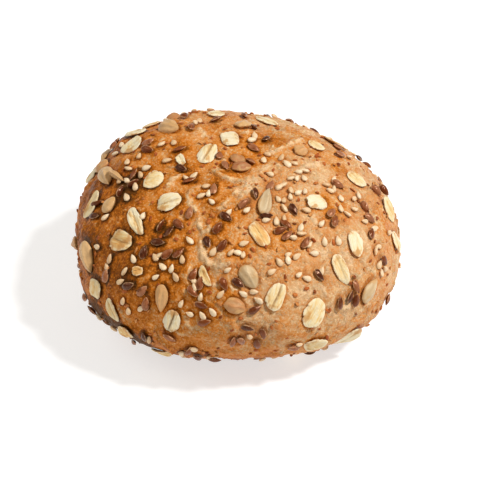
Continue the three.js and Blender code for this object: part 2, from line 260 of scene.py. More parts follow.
# Linseed: picture x and y, turn in degrees.
SEEN_LINSEED = [
    (226, 168, -65), (219, 155, 80), (178, 225, -40), (168, 232, 50), (160, 226, 60), (189, 213, 75),
    (226, 218, -30), (218, 229, 55), (214, 191, 80), (190, 182, 12), (181, 169, -20), (134, 175, 52),
    (133, 184, 28), (121, 192, 65), (150, 145, 25), (149, 152, -8), (98, 217, 0), (116, 147, 70),
    (100, 205, 30), (254, 147, -30), (266, 139, 50), (254, 128, -60), (244, 117, -70), (251, 162, -40),
    (255, 196, -80), (244, 205, 42), (270, 186, 60), (293, 211, -60), (266, 217, 5), (286, 225, -45),
    (280, 231, 20), (287, 236, 40), (329, 214, 50), (333, 222, 70), (365, 208, -60), (370, 219, -40),
    (371, 234, 80), (338, 157, -12), (336, 150, -45), (358, 160, -20), (368, 165, -55), (316, 130, -20),
    (290, 122, 0), (374, 192, -45), (381, 192, -50), (338, 185, -30), (157, 243, -5), (167, 255, 40),
    (178, 254, 45), (144, 253, 72), (131, 285, 20), (144, 290, 45), (147, 303, 85), (107, 276, 80),
    (208, 243, -65), (223, 246, 55), (193, 275, 65), (200, 284, 75), (193, 292, -50), (202, 305, -15),
    (224, 284, -65), (238, 283, -35), (171, 335, -35), (146, 334, 85), (190, 348, 60), (198, 355, -30),
    (233, 340, 75), (241, 340, -70), (205, 321, 15), (247, 326, -5), (263, 333, -75), (257, 344, 85),
    (254, 309, 25), (320, 276, -50), (306, 243, 60), (356, 287, -75), (350, 297, 75), (355, 300, 78),
    (340, 303, 85), (384, 261, -55), (387, 299, 60), (294, 347, 0), (186, 120, 35), (192, 129, 60),
    (216, 122, 15), (180, 150, 20),
]

# Of those, the ones that stand on their edge, and the darkest.
LINSEED_ON_EDGE = [
    (368, 165), (381, 192), (374, 192), (160, 226), (133, 184), (149, 152), (121, 192), (100, 205),
    (244, 205), (266, 217), (365, 208),
]
LINSEED_DARK = [
    (247, 326), (181, 169), (98, 217), (255, 196), (157, 243), (131, 285), (320, 276), (266, 139),
    (293, 211),
]

# Sesame: picture x and y. The seeds lie any way round.
SEEN_SESAME = [
    (163, 146), (174, 144), (167, 161), (141, 158), (116, 154), (130, 170), (130, 164), (140, 175),
    (127, 181), (135, 187), (121, 181), (146, 168), (186, 179), (194, 177), (207, 188), (209, 195),
    (202, 197), (212, 203), (127, 198), (108, 218), (145, 217), (123, 146), (229, 213), (98, 247),
    (111, 259), (108, 267), (127, 271), (135, 259), (123, 281), (157, 277), (155, 258), (159, 256),
    (163, 267), (172, 269), (176, 277), (182, 260), (189, 241), (214, 252), (231, 253), (237, 253),
    (228, 270), (221, 294), (193, 281), (194, 288), (201, 297), (181, 304), (190, 314), (203, 315),
    (125, 300), (130, 310), (142, 308), (151, 337), (194, 347), (183, 350), (208, 356), (213, 311),
    (254, 138), (252, 141), (264, 160), (268, 153), (282, 158), (287, 165), (294, 165), (270, 175),
    (298, 173), (304, 172), (304, 179), (297, 179), (291, 179), (280, 187), (284, 185), (291, 191),
    (298, 194), (304, 193), (290, 198), (278, 200), (284, 201), (284, 209), (334, 180), (327, 185),
    (335, 189), (331, 191), (341, 199), (355, 199), (359, 196), (355, 210), (338, 210), (345, 215),
    (321, 224), (305, 211), (266, 221), (284, 219), (276, 222), (301, 228), (302, 234), (247, 211),
    (365, 222), (375, 229), (390, 233), (348, 159), (354, 155), (293, 238), (244, 244), (243, 255),
    (325, 242), (310, 245), (338, 241), (315, 254), (288, 255), (297, 257), (287, 260), (278, 262),
    (271, 271), (299, 275), (307, 279), (322, 272), (243, 294), (254, 292), (258, 300), (249, 336),
    (299, 344), (378, 247), (375, 251), (379, 265), (385, 269), (381, 273), (196, 125), (200, 123),
]

# Bits of husk and cracked grain: picture x and y.
SEEN_BRAN = [
    (316, 157), (354, 190), (310, 215), (338, 165), (370, 261), (355, 277), (330, 311), (327, 337),
    (295, 295), (297, 304), (307, 289), (205, 321), (220, 304), (213, 216), (209, 222), (191, 115),
    (252, 113), (243, 128), (188, 128), (297, 124), (378, 218), (385, 262), (397, 252), (384, 282),
    (334, 243), (268, 300), (232, 243), (127, 290), (128, 305), (137, 320), (108, 268), (151, 219),
    (137, 250), (375, 330), (294, 347), (116, 340),
]

print("read off the picture:", len(SEEN_OATS), "oat flakes and", len(SEEN_KERNELS), "kernels")
print("and:", len(SEEN_LINSEED), "linseed,", len(SEEN_SESAME), "sesame,", len(SEEN_BRAN), "bits")

# %% Keep what is known of one topping
FACES_CAMERA = 0.05  # how squarely a place has to face the camera to count as seen


class Piece:
    """One topping: where it lies, which way it faces and points, its size and what is its own."""

    def __init__(self, kind, d, along, long, wide, look=None, tone=None, roll=None):
        self.kind = kind
        self.at = crust_point(d)
        self.normal = crust_normal(d)
        self.along = unit(along - self.normal * (along @ self.normal))
        self.long = long
        self.wide = wide
        self.look = look
        self.tone = tone
        self.roll = roll

    def span(self):
        return (self.long + self.wide) / 4

    def faces_view(self):
        return unit(EYE - self.at) @ self.normal > FACES_CAMERA


# %% Find a place in the picture on the crust
BEYOND_CRUST = 70
SIGHT_STEP = 0.25
SMALLEST, LARGEST = 0.45, 1.3  # limits for a size read off the picture, as shares of the usual size
MOST_SLANTED = -0.25  # near the roll's edge a slant is taken for no more than this, or sizes would run away


def seen_at(x, y):
    """The way from the heart to the crust at a place in the picture, or to the nearest crust."""
    across = (x - HEART_IN_PICTURE[0]) / PIXELS_PER_MM
    above = (HEART_IN_PICTURE[1] - y) / PIXELS_PER_MM
    ray = unit(HEART + across * RIGHT + above * UP - EYE)
    steps = np.arange(VIEW_DISTANCE - BEYOND_CRUST, VIEW_DISTANCE + BEYOND_CRUST, SIGHT_STEP)
    from_heart = EYE + ray * steps[:, None] - HEART
    outside = np.linalg.norm(from_heart, axis=1) - reach(unit(from_heart))
    inside = np.flatnonzero(outside < 0)
    best = inside[0] if len(inside) else np.argmin(outside)
    return unit(from_heart[best])


def seen_piece(kind, x, y, turn, length=None, width=None, look=None, tone=None, roll=None):
    """A piece in the picture, with its true size worked out from how long and wide it looks there."""
    d = seen_at(x, y)
    normal = crust_normal(d)
    ray = unit(crust_point(d) - EYE)
    tilt = min(ray @ normal, MOST_SLANTED)

    def lying(angle):
        way = RIGHT * math.cos(angle) + UP * math.sin(angle)
        return way - ray * (way @ normal) / tilt

    def true_size(pixels, way, usual):
        if pixels is None:
            return usual
        size = pixels / PIXELS_PER_MM * np.linalg.norm(way)
        return float(np.clip(size, SMALLEST * usual, LARGEST * usual))

    along = lying(math.radians(turn))
    beside = lying(math.radians(turn) + math.pi / 2)
    sizes = TOPPINGS[kind]
    long = true_size(length, along, sizes["long"])
    wide = true_size(width, beside, sizes["wide"])
    return Piece(kind, d, along, long, wide, look, tone, roll)


# %% Read the small seeds
ON_EDGE_ROLL = 68
DARK_TONE = 0.95
SESAME_LEAST, SESAME_VARIES = 0.85, 0.3
SESAME_SEED = 7


def seen_linseed(x, y, turn):
    roll = ON_EDGE_ROLL if (x, y) in LINSEED_ON_EDGE else None
    tone = DARK_TONE if (x, y) in LINSEED_DARK else None
    return seen_piece("linseed", x, y, turn, tone=tone, roll=roll)


def seen_sesame(x, y, turn, size):
    seed = seen_piece("sesame", x, y, turn * 180)
    seed.long *= SESAME_LEAST + SESAME_VARIES * size
    seed.wide *= SESAME_LEAST + SESAME_VARIES * size
    return seed


# %% Offer places by the rule
def turned(v, axis, angle):
    """v, turned about an axis that is square to it."""
    return v * math.cos(angle) + np.cross(axis, v) * math.sin(angle)


def offered_pieces(kind):
    """The rule's places for one kind, from the crown down to its lowest level."""
    sizes = TOPPINGS[kind]
    draw = numbers_from(sizes["seed"])
    lowest = math.radians(sizes["lowest"])
    for i in range(sizes["tries"]):
        level = 1 - (1 - math.sin(lowest)) * (i + 0.5) / sizes["tries"]
        bearing = i * GOLDEN_ANGLE + sizes["seed"] + (next(draw) - 0.5) * WANDER
        rise = max(math.asin(level) + (next(draw) - 0.5) * WANDER, lowest)
        turn = next(draw) * 2 * math.pi
        size = 1 + (next(draw) - 0.5) * SIZE_VARIES
        d = direction(bearing, rise)
        normal = crust_normal(d)
        along = turned(unit(np.cross([0, 0, 1], normal)), normal, turn)
        yield Piece(kind, d, along, sizes["long"] * size, sizes["wide"] * size)


# %% Place every topping
def is_free(piece, placed, closeness):
    apart = np.linalg.norm(np.array([other.at for other in placed]) - piece.at, axis=1)
    spans = np.array([other.span() for other in placed]) + piece.span()
    return bool(np.all(apart >= spans * closeness))


def place_toppings():
    """Every topping: first what the picture shows, then what the rule offers where there is room."""
    draw = numbers_from(SESAME_SEED)
    placed = [seen_piece("oats", *row) for row in SEEN_OATS]
    placed += [seen_piece("kernels", *row) for row in SEEN_KERNELS]
    placed += [seen_linseed(*row) for row in SEEN_LINSEED]
    placed += [seen_sesame(x, y, next(draw), next(draw)) for x, y in SEEN_SESAME]
    for kind, sizes in TOPPINGS.items():
        for piece in offered_pieces(kind):
            if not piece.faces_view() and is_free(piece, placed, sizes["closeness"]):
                placed.append(piece)
    return placed


toppings = place_toppings()
for kind in TOPPINGS:
    print(kind, sum(piece.kind == kind for piece in toppings))

# %% [markdown]
# ## Node trees, written as sums
#
# The crust's relief and all finishes are node trees. A tree is easier to read as an expression than as a
# list of links, so one small class wraps a node's output, and adding or multiplying two of them adds a
# Math node. Every other node comes from one method: its type, then its settings, then what goes into its
# sockets.


# %% Wrap a node's output
class Field:
    def __init__(self, tree, socket):
        self.tree = tree
        self.socket = socket

    def math(self, operation, a, b):
        return self.tree.node("ShaderNodeMath", {"operation": operation}, {0: a, 1: b})

    def __add__(self, other):
        return self.math("ADD", self, other)

    def __sub__(self, other):
        return self.math("SUBTRACT", self, other)

    def __mul__(self, other):
        return self.math("MULTIPLY", self, other)

    def __pow__(self, other):
        return self.math("POWER", self, other)

    def __radd__(self, other):
        return self.math("ADD", other, self)

    def __rsub__(self, other):
        return self.math("SUBTRACT", other, self)

    def __rmul__(self, other):
        return self.math("MULTIPLY", other, self)

    def __rtruediv__(self, other):
        return self.math("DIVIDE", other, self)

    def __abs__(self):
        return self.math("ABSOLUTE", self, 0.0)


# %% Build a tree, one node at a time
class Tree:
    def __init__(self, nodes):
        self.nodes = nodes

    def node(self, kind, settings=None, sockets=None, out=0):
        """Adds a node and gives the output that is asked for, by name or by number."""
        node = self.nodes.nodes.new(kind)
        node.location = (200 * len(self.nodes.nodes), 0)
        for name, value in (settings or {}).items():
            if name == "stops":
                self.set_stops(node.color_ramp, value)
            else:
                setattr(node, name, value)
        for name, value in (sockets or {}).items():
            if isinstance(value, Field):
                self.nodes.links.new(value.socket, node.inputs[name])
            else:
                node.inputs[name].default_value = value
        return Field(self, node.outputs[out]) if len(node.outputs) else node

    def set_stops(self, ramp, stops):
        while len(ramp.elements) < len(stops):
            ramp.elements.new(0.5)
        for element, (place, colour) in zip(ramp.elements, stops):
            element.position = place
            element.color = (*colour, 1)

    def vector(self, operation, *values):
        return self.node("ShaderNodeVectorMath", {"operation": operation}, dict(enumerate(values)))

    def smooth(self, value, low, high):
        """0 below low and 1 above high, with a soft step between them. High may be the lower of the two."""
        sockets = {"Value": value, "From Min": low, "From Max": high}
        return self.node("ShaderNodeMapRange", {"interpolation_type": "SMOOTHSTEP"}, sockets)

    def larger(self, a, b):
        return self.node("ShaderNodeMath", {"operation": "MAXIMUM"}, {0: a, 1: b})

    def ramp(self, value, stops):
        """A colour from a ramp whose stops are pairs of a place and a colour."""
        return self.node("ShaderNodeValToRGB", {"stops": stops}, {"Fac": value}, out="Color")

    def cells(self, where, size_mm, out):
        """Small grains of about size_mm: how far each point is from its middle, or its own colour."""
        return self.node("ShaderNodeTexVoronoi", {}, {"Vector": where, "Scale": 1 / (size_mm * MM)}, out)

    def mix(self, share, a, b):
        """From colour a to colour b."""
        a, b = [(*c, 1) if isinstance(c, tuple) and len(c) == 3 else c for c in (a, b)]
        return self.node("ShaderNodeMix", {"data_type": "RGBA"}, {0: share, 6: a, 7: b}, out=2)

    def noise(self, where, size_mm, detail=2.0, rough=0.5, out=0):
        """A noise between 0 and 1 whose blotches are about size_mm across. The size may be a field too."""
        return self.scaled_noise(where, 1 / (size_mm * MM), detail, rough, out)

    def scaled_noise(self, where, scale, detail, rough=0.5, out=0):
        """The same, but with the number of blotches for each unit of where."""
        sockets = {"Vector": where, "Scale": scale, "Detail": detail, "Roughness": rough}
        return self.node("ShaderNodeTexNoise", {}, sockets, out)


# %% [markdown]
# ## The crust
#
# The crust is one closed skin. A finely cut cube, blown up to a ball, has even faces with no poles and no
# seams, and each of its points is then moved to the dough's form. Every topping sits in its own shallow bed
# with a low lip of dough round it, so the skin is pressed in under each one. How near a point is to a
# topping is kept as an attribute, because the crust is darker there: partly toasted, and partly painted
# shade that the topping would cast.

# %% Cut a cube finely
SQUARES_ALONG = 128  # along each edge, which keeps the crust just under 200,000 triangles


def cube_ball():
    ball = bmesh.new()
    bmesh.ops.create_cube(ball, size=2)
    bmesh.ops.subdivide_edges(ball, edges=ball.edges[:], cuts=SQUARES_ALONG - 1, use_grid_fill=True)
    mesh = bpy.data.meshes.new("baked_crust")
    ball.to_mesh(mesh)
    ball.free()
    return mesh


def read_points(mesh):
    flat = np.zeros(len(mesh.vertices) * 3)
    mesh.vertices.foreach_get("co", flat)
    return flat.reshape(-1, 3)


def write_attribute(mesh, name, values):
    values = np.asarray(values, float)
    kind, key = ("FLOAT_VECTOR", "vector") if values.ndim == 2 else ("FLOAT", "value")
    column = mesh.attributes.new(name, kind, "POINT")
    column.data.foreach_set(key, values.ravel())


# %% Press the toppings into it
# For each kind: depth of its bed, height of the lip of dough round it.
BEDS = {"oats": (0.12, 0.04), "kernels": (0.35, 0.12), "linseed": (0.16, 0.05), "sesame": (0.1, 0.04)}
LIP_AWAY, LIP_SPREAD = 0.6, 0.5
BED_FLOOR, BED_EDGE = -0.4, 0.35  # from a topping's outline to where its bed is full, and where it ends
NO_LIP_IN = 0.1  # a bed deeper than this has no lip in it
TOAST_AND_SHADE_TO = 2.0  # how far from a topping the crust is still darker, partly toasted and partly painted shade
PRESSED_TO = 3  # how far past a topping's end the crust may be moved


def soft_step(value, low, high):
    t = np.clip((value - low) / (high - low), 0, 1)
    return t * t * (3 - 2 * t)


def press_in(points):
    """Moves the points near each topping, and gives how close each point is to one, from 0 to 1."""
    sunk, lip, close = (np.zeros(len(points)) for _ in range(3))
    ways = np.zeros_like(points)
    for piece in toppings:
        off = points - piece.at
        near = np.flatnonzero(np.einsum("ij,ij->i", off, off) < (piece.long / 2 + PRESSED_TO) ** 2)
        off = off[near]
        along = off @ piece.along / (piece.long / 2)
        beside = off @ np.cross(piece.normal, piece.along) / (piece.wide / 2)
        gap = (np.hypot(along, beside) - 1) * piece.span()
        depth, height = BEDS[piece.kind]
        sunk[near] = np.maximum(sunk[near], depth * (1 - soft_step(gap, BED_FLOOR, BED_EDGE)))
        lip[near] = np.maximum(lip[near], height * np.exp(-(((gap - LIP_AWAY) / LIP_SPREAD) ** 2)))
        close[near] = np.maximum(close[near], 1 - soft_step(gap, 0, TOAST_AND_SHADE_TO))
        ways[near] += piece.normal
    length = np.linalg.norm(ways, axis=1, keepdims=True)
    ways = ways / np.where(length > 0, length, 1)
    return points + ways * (lip * (sunk < NO_LIP_IN) - sunk)[:, None], close


# %% List how the oven browned it, and where shade is painted on it
# The left is darker: partly the hotter side, and partly painted shade, as it faces away from the light. The
# crust counts as 0 where it is floury and as 1 where it is almost burnt.
BAKED_AND_SHADED_LEFT, BAKED_RIGHT = 0.55, 0.3
LEFT_FROM, LEFT_TO = -0.35, 0.8  # in half widths to the left: where the darker left side begins and is full
UNDERSIDE_TOP = 24  # the level below which it is darker, where it curves in to the tray
FLANK_FROM = 0.72  # the share of the half width from which its flanks are darker
# How much darker the underside and the flanks are, partly baked and partly painted shade where they turn
# from the light: everywhere, and on the left side on top of that.
UNDERSIDE_BAKED_AND_SHADED = (0.16, 0.24)
FLANK_BAKED_AND_SHADED = (0.03, 0.18)

# Picture x and y, spread in millimetres, and how much darker or paler: mostly baking, and painted shade
# where marked.
BAKED_AND_SHADED_SPOTS = [
    # The first spot, in a hollow between the seeds on the left, is painted shade.
    (126, 188, 7, 0.26), (155, 222, 8, 0.1), (150, 242, 6, 0.1), (128, 268, 9, 0.1), (97, 248, 9, 0.1),
    (205, 160, 7, 0.1), (229, 183, 5, 0.24), (196, 190, 6, 0.1), (192, 226, 8, -0.05),
    (170, 284, 9, 0.04), (190, 268, 7, 0.06), (215, 226, 5, 0.12), (184, 333, 10, -0.04),
    (255, 152, 7, 0.14), (273, 140, 7, 0.12), (296, 138, 6, 0.12), (168, 156, 9, -0.03),
    (243, 245, 7, 0.08), (345, 248, 12, -0.14), (325, 296, 11, -0.1), (242, 190, 4, -0.1),
    (212, 264, 6, -0.04), (262, 265, 7, -0.05), (98, 212, 7, -0.08), (128, 332, 9, -0.16),
    (112, 300, 8, -0.18), (310, 190, 9, -0.06), (240, 318, 9, -0.08), (256, 298, 7, -0.06),
    (160, 300, 7, -0.22), (336, 165, 7, 0.1), (333, 207, 7, 0.1), (165, 335, 8, -0.06),
    (128, 316, 7, -0.08), (268, 245, 7, 0.06), (320, 318, 12, 0.06), (102, 202, 7, 0.1),
    # The five spots on the next line and the first on the line after make a dark strip along the lower left
    # edge: painted shade where the roll curves in to the tray, partly its darker baked edge.
    (98, 306, 3, 0.3), (103, 315, 3.5, 0.8), (111, 323, 4, 0.9), (121, 330, 4, 1.0), (132, 336, 4, 0.9),
    (143, 342, 3, 0.7), (288, 240, 7, 0.06), (352, 283, 9, 0.14), (256, 320, 8, -0.03),
    (222, 322, 7, -0.04), (218, 219, 7, 0.13), (160, 180, 7, -0.05), (320, 238, 8, 0.06),
    (192, 150, 10, -0.06), (196, 122, 8, -0.08), (96, 197, 6, -0.08), (256, 233, 7, -0.06),
    (224, 276, 6, -0.08), (352, 298, 7, -0.1), (384, 196, 8, -0.05), (352, 190, 8, -0.04),
    (322, 201, 6, 0.14), (385, 224, 6, 0.1), (322, 161, 6, 0.08), (226, 300, 6, 0.1), (126, 204, 6, 0.12),
]

# The floury lines round its blisters, each a run of places in the picture.
FLOURY_LINES = [
    [(169, 186), (171, 181), (176, 177), (182, 176)],
    [(215, 172), (218, 178), (227, 181), (237, 184), (249, 182)],
    [(207, 186), (197, 189), (190, 195), (189, 202), (195, 210)],
    [(219, 212), (226, 206), (232, 200), (236, 193), (246, 187)],
    [(200, 219), (199, 227), (204, 232), (211, 228)],
    [(203, 238), (201, 247), (203, 256), (208, 263), (218, 267), (229, 262)],
    [(271, 152), (278, 149), (287, 147), (300, 142)],
    [(189, 270), (187, 279), (190, 287)],
    [(297, 173), (306, 168), (316, 165)],
    [(255, 181), (250, 190), (241, 197)],
]
FLOURY_WIDTH = 1.1


# %% Work out how baked, how shaded and how floury each point is
def browning_and_shading(points):
    """How baked each point is, with painted shade on the left, toward the underside and flanks, and in a few
    spots.
    """
    leftward = soft_step(-points[:, 0] / HALF_WIDTH, LEFT_FROM, LEFT_TO)
    low = 1 - soft_step(points[:, 2], 0, UNDERSIDE_TOP)
    flank = soft_step(np.hypot(points[:, 0] / HALF_WIDTH, points[:, 1] / HALF_DEPTH), FLANK_FROM, 1.0)
    baked = BAKED_RIGHT + (BAKED_AND_SHADED_LEFT - BAKED_RIGHT) * leftward
    for where, (more, more_left) in ((low, UNDERSIDE_BAKED_AND_SHADED), (flank, FLANK_BAKED_AND_SHADED)):
        baked += where * (more + more_left * leftward)
    for x, y, spread, more in BAKED_AND_SHADED_SPOTS:
        away = np.linalg.norm(points - crust_point(seen_at(x, y)), axis=1)
        baked += more * np.exp(-((away / spread) ** 2))
    return baked


def floury(points):
    """How near each point is to a floury line, from 0 to 1."""
    near = np.zeros(len(points))
    for line in FLOURY_LINES:
        corners = [crust_point(seen_at(x, y)) for x, y in line]
        for start, end in zip(corners, corners[1:]):
            way = end - start
            share = np.clip((points - start) @ way / (way @ way), 0, 1)
            away = np.linalg.norm(points - start - share[:, None] * way, axis=1)
            near = np.maximum(near, np.exp(-((away / FLOURY_WIDTH) ** 2)))
    return near


# %% Blow the cube up to the bare crust
def make_bare_crust():
    mesh = cube_ball()
    d = unit(np.tan(read_points(mesh) * math.pi / 4))
    smooth_skin = crust_point(d)
    points, close = press_in(smooth_skin)
    points[:, 2] = np.maximum(points[:, 2], 0)
    mesh.vertices.foreach_set("co", (points * MM).ravel())
    write_attribute(mesh, "close", close)
    write_attribute(mesh, "baked", browning_and_shading(smooth_skin))
    write_attribute(mesh, "floury", floury(smooth_skin))
    mesh.update()
    crust = bpy.data.objects.new("crust", mesh)
    bpy.context.scene.collection.objects.link(crust)
    return crust


crust = make_bare_crust()
print("crust faces:", len(crust.data.polygons))

# %% [markdown]
# ## Blisters and grain
#
# A crust isn't smooth. Steam lifts thin blisters, with a wrinkled, floury line round each, and the bran
# in the dough makes a fine grain all over. These follow a rule, so a Geometry Nodes tree moves each point
# along its normal by a few layers of noise. It also keeps the layers as attributes, so that the finish
# can colour the same blisters that the relief lifts.

# %% Build the relief tree
# Sizes and heights are millimetres.
RELIEF = {
    "Blister size": 9.0,
    "Blister height": 0.36,
    "Wrinkle height": 1.25,
    "Lump size": 3.6,
    "Lump height": 0.85,
    "Grain size": 1.3,
    "Grain height": 0.14,
}
FOOT_CALM = 3.0  # below this level the relief fades out, so the foot stays flat
TOPPING_CALM = 0.8  # the share of the relief that is gone where a topping lies
BEND_SCALE, BEND_REACH = 120.0, 0.004  # a noise, in metres, makes the blisters' outlines uneven
RING_LEVEL, RING_WIDTH = 0.53, 0.04  # a wrinkled ring runs where the blisters' noise is near this level
RING_STRENGTH = 0.7  # beside the floury lines, which are at 1
WRINKLE_LEAST = 0.3  # the share of a wrinkle that is left where it is broken


def new_geometry_tree(name, numbers, more=()):
    tree = bpy.data.node_groups.new(name, "GeometryNodeTree")
    tree.interface.new_socket("Geometry", in_out="INPUT", socket_type="NodeSocketGeometry")
    for label in numbers:
        tree.interface.new_socket(label, in_out="INPUT", socket_type="NodeSocketFloat")
    for label, kind in more:
        tree.interface.new_socket(label, in_out="INPUT", socket_type=kind)
    tree.interface.new_socket("Geometry", in_out="OUTPUT", socket_type="NodeSocketGeometry")
    start = tree.nodes.new("NodeGroupInput")
    made = Tree(tree)
    return made, {s.name: Field(made, s) for s in start.outputs if s.name}


def band(tree, value, level, width):
    """1 where a value is at a level, falling to 0 on both sides of it."""
    return 1 - tree.smooth(abs(value - level), 0.0, width)


def relief_tree():
    tree, given = new_geometry_tree("crust relief", RELIEF)
    where = tree.node("GeometryNodeInputPosition")
    height = tree.node("ShaderNodeSeparateXYZ", {}, {0: where}, out="Z")
    close, line = (
        tree.node("GeometryNodeInputNamedAttribute", {"data_type": "FLOAT"}, {"Name": name})
        for name in ("close", "floury")
    )
    facing = tree.node("GeometryNodeInputNormal")

    bend = tree.scaled_noise(where, BEND_SCALE, 2.0, out="Color")
    bent = tree.vector("MULTIPLY_ADD", bend, (BEND_REACH,) * 3, where)
    swell = tree.noise(bent, given["Blister size"], 1.0)
    blister = tree.smooth(swell, 0.52, 0.60)
    broken = tree.smooth(tree.noise(where, 2.0, 2), 0.38, 0.58)
    ring = band(tree, swell, RING_LEVEL, RING_WIDTH) * tree.smooth(tree.noise(where, 11, 1), 0.48, 0.6)
    wrinkle = tree.larger(ring * RING_STRENGTH, line) * (WRINKLE_LEAST + (1 - WRINKLE_LEAST) * broken)
    lump = tree.noise(where, given["Lump size"], 2.0) - 0.5
    grain = tree.noise(where, given["Grain size"], 2.0, 0.6) - 0.5

    free = 1 - TOPPING_CALM * close
    lift = blister * given["Blister height"] + wrinkle * given["Wrinkle height"]
    lift = lift + lump * given["Lump height"] * 2 + grain * given["Grain height"] * 2
    lift = lift * free * tree.smooth(height, 0.0, FOOT_CALM * MM) * MM
    offset = tree.node("ShaderNodeVectorMath", {"operation": "SCALE"}, {0: facing, "Scale": lift})
    moved = tree.node("GeometryNodeSetPosition", {}, {"Geometry": given["Geometry"], "Offset": offset})
    for name, value in {"blister": blister, "wrinkle": wrinkle}.items():
        moved = tree.node(
            "GeometryNodeStoreNamedAttribute",
            {"data_type": "FLOAT", "domain": "POINT"},
            {"Geometry": moved, "Name": name, "Value": value},
        )
    moved = tree.node("GeometryNodeSetShadeSmooth", {}, {"Geometry": moved})
    tree.node("NodeGroupOutput", {}, {"Geometry": moved})
    return tree.nodes


# %% Run a tree and keep its result as a plain mesh
def run_tree(piece, tree, inputs):
    """Runs a Geometry Nodes tree on a piece, whose mesh becomes the result."""
    modifier = piece.modifiers.new(tree.name, "NODES")
    modifier.node_group = tree
    for item in tree.interface.items_tree:
        if item.item_type == "SOCKET" and item.in_out == "INPUT" and item.name in inputs:
            modifier[item.identifier] = inputs[item.name]
    evaluated = piece.evaluated_get(bpy.context.evaluated_depsgraph_get())
    result = bpy.data.meshes.new_from_object(evaluated)
    piece.modifiers.remove(modifier)
    result.name = piece.name
    piece.data = result
    return result


run_tree(crust, relief_tree(), RELIEF)
print("crust height, in mm:", round(read_points(crust.data)[:, 2].max() / MM, 1))

# %% [markdown]
# ## The look of the crust
#
# The crust is a pale, sandy tan where the roll faces right, and a deeper orange brown on its left: partly
# where the oven was hotter, and partly painted shade, as the left faces away from the light. Blisters are
# more orange, the wrinkled lines round them are pale and floury, and the dough is darker next to each seed,
# partly toasted and partly painted shade. Fine specks of bran, some pale and some red brown, cover all of
# it. Most of these, and the painted shade on the left, on the lower flanks and next to the seeds, only make
# a place darker or paler, so they are added up to one number, and one ramp turns that number into the
# colours from pale dough to burnt. Flour dust, red specks and the painted shade of the underside are no part
# of baking, so they are mixed in after the ramp.


# %% Start a finish
def new_finish(name):
    material = bpy.data.materials.new(name)
    material.use_nodes = True
    material.node_tree.nodes.clear()
    return material, Tree(material.node_tree)


def finish_surface(tree, colour, rough, bump, bump_mm, constants=None):
    """The shader of every finish: its colour, roughness and bump, and what is the same all over."""
    normal = tree.node("ShaderNodeBump", {}, {"Height": bump, "Distance": bump_mm * MM, "Strength": 1.0})
    sockets = {"Base Color": colour, "Roughness": rough, "Normal": normal, **(constants or {})}
    shader = tree.node("ShaderNodeBsdfPrincipled", {}, sockets)
    tree.node("ShaderNodeOutputMaterial", {}, {"Surface": shader})


def attribute(tree, name, out="Fac"):
    return tree.node("ShaderNodeAttribute", {"attribute_name": name}, {}, out)


# %% List the crust's colours
BROWNING = [
    (0.0, (0.76, 0.52, 0.29)),
    (0.2, (0.60, 0.360, 0.172)),
    (0.4, (0.59, 0.232, 0.052)),
    (0.58, (0.50, 0.145, 0.010)),
    (0.78, (0.26, 0.070, 0.005)),
    (1.0, (0.085, 0.030, 0.005)),
]

# Bread lets a little light in, which makes it glow, and its shine is as warm as it is.
CRUST_GLOSS = {
    "Specular IOR Level": 0.22,
    "Specular Tint": (1.0, 0.5, 0.15, 1),
    "Subsurface Weight": 0.12,
    "Subsurface Radius": (1.0, 0.4, 0.15),
    "Subsurface Scale": 0.0015,
}
FLOUR_DUST = (0.58, 0.39, 0.23)
RED_SPECK = (0.30, 0.060, 0.010)
# The underside's painted shade, darker where the roll curves in to the tray.
UNDERSIDE_SHADE = (0.14, 0.050, 0.011)
DUST_SHARE, SPECK_SHARE, UNDERSIDE_SHADE_SHARE = 0.22, 0.5, 0.75
DUSTED_BELOW = (0.4, 0.26)  # how baked the crust is where its flour dust begins, and where it is full
SHADED_BELOW = (0.012, 0.001)  # the levels, in metres, where the underside's painted shade begins and is full

# Close to a topping the crust is darker by this much, and by this share of how baked it is anyway: partly
# toasting, and partly painted shade that the topping would cast. The power keeps that close to the topping.
TOAST_AND_SHADE_BY, TOAST_AND_SHADE_BY_BAKED, TOAST_AND_SHADE_POWER = 0.12, 0.3, 2.5

# How much each pattern bakes the crust, or makes it paler where the number is negative.
BAKED_BY = {
    "broad": 0.4,
    "patch": 0.12,
    "cloud": 0.34,
    "fine": 0.46,
    "own": 0.16,
    "sand": -0.22,
    "skin_line": -0.13,
    "blister": 0.12,
    "wrinkle": -0.55,
}
# How far each pattern lifts the crust, as a share of the bump's height in millimetres.
LIFTED_BY = {"fine": 0.4, "grain": -0.18, "cloud": 0.9, "skin_line": 0.35, "wrinkle": 0.3}
BUMP_MM = 0.45
CRUST_ROUGH = 0.52
ROUGHENED_BY = {"blister": -0.1, "wrinkle": 0.2}


# %% Mix the crust's finish
def crust_patterns(tree, where):
    """The patterns by name: the relief's two, noises from broad to fine, and small grains of dough."""
    skin = band(tree, tree.noise(where, 3.6, 4, 0.6), 0.5, 0.03)
    return {
        "blister": attribute(tree, "blister"),
        "wrinkle": attribute(tree, "wrinkle"),
        "broad": tree.noise(where, 16, 2) - 0.5,
        "patch": tree.smooth(tree.noise(where, 6.5, 4, 0.6), 0.42, 0.58) - 0.5,
        "cloud": tree.noise(where, 2.2, 4, 0.65) - 0.5,
        "fine": tree.noise(where, 1.1, 3, 0.65) - 0.5,
        "skin_line": skin * tree.smooth(tree.noise(where, 8, 1), 0.44, 0.56),
        "sand": tree.smooth(tree.noise(where, 0.6, 2, 0.6), 0.52, 0.64),
        "fleck": tree.smooth(tree.noise(where, 1.0, 2, 0.6), 0.62, 0.70),
        "grain": tree.cells(where, 0.8, "Distance"),
        "own": tree.cells(where, 0.8, "Color") - 0.5,
    }


def summed(start, patterns, amounts):
    for name, amount in amounts.items():
        start = start + patterns[name] * amount
    return start


